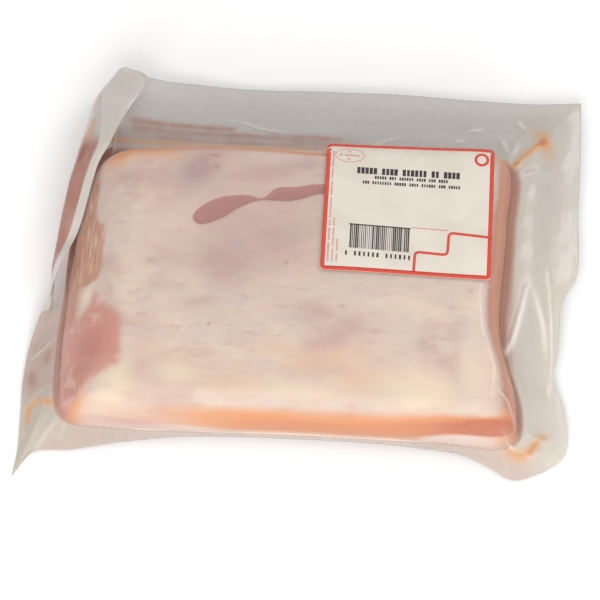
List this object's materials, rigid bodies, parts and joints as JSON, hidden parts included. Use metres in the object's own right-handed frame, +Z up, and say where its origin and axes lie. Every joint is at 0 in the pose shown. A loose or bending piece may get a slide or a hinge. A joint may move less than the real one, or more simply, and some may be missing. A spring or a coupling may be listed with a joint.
{
  "type": "vacuum packed pork loin",
  "caption": "Boneless pork loin with its fat cap up, sealed in a clear vacuum pouch with a flat film skirt, a folded flap and a paper label.",
  "frame": {"origin": "under the middle of the bounding box, on the surface the pack lies on", "axes": "+X along the loin to its right end, +Y from its front edge to its back edge, +Z up out of the fat cap"},
  "size_m": [0.2338, 0.1846, 0.0468],
  "materials": {
    "film": "clear glossy vacuum film, slightly grey where two layers lie together",
    "meat": "wet raw pork: cream fat cap, rose muscle, pink-brown edges",
    "label_paper": "smooth coated label paper with a red border"
  },
  "bodies": {
    "root": {"sealed_pouch": "film", "paper_label": "label_paper"}
  },
  "joints": []
}
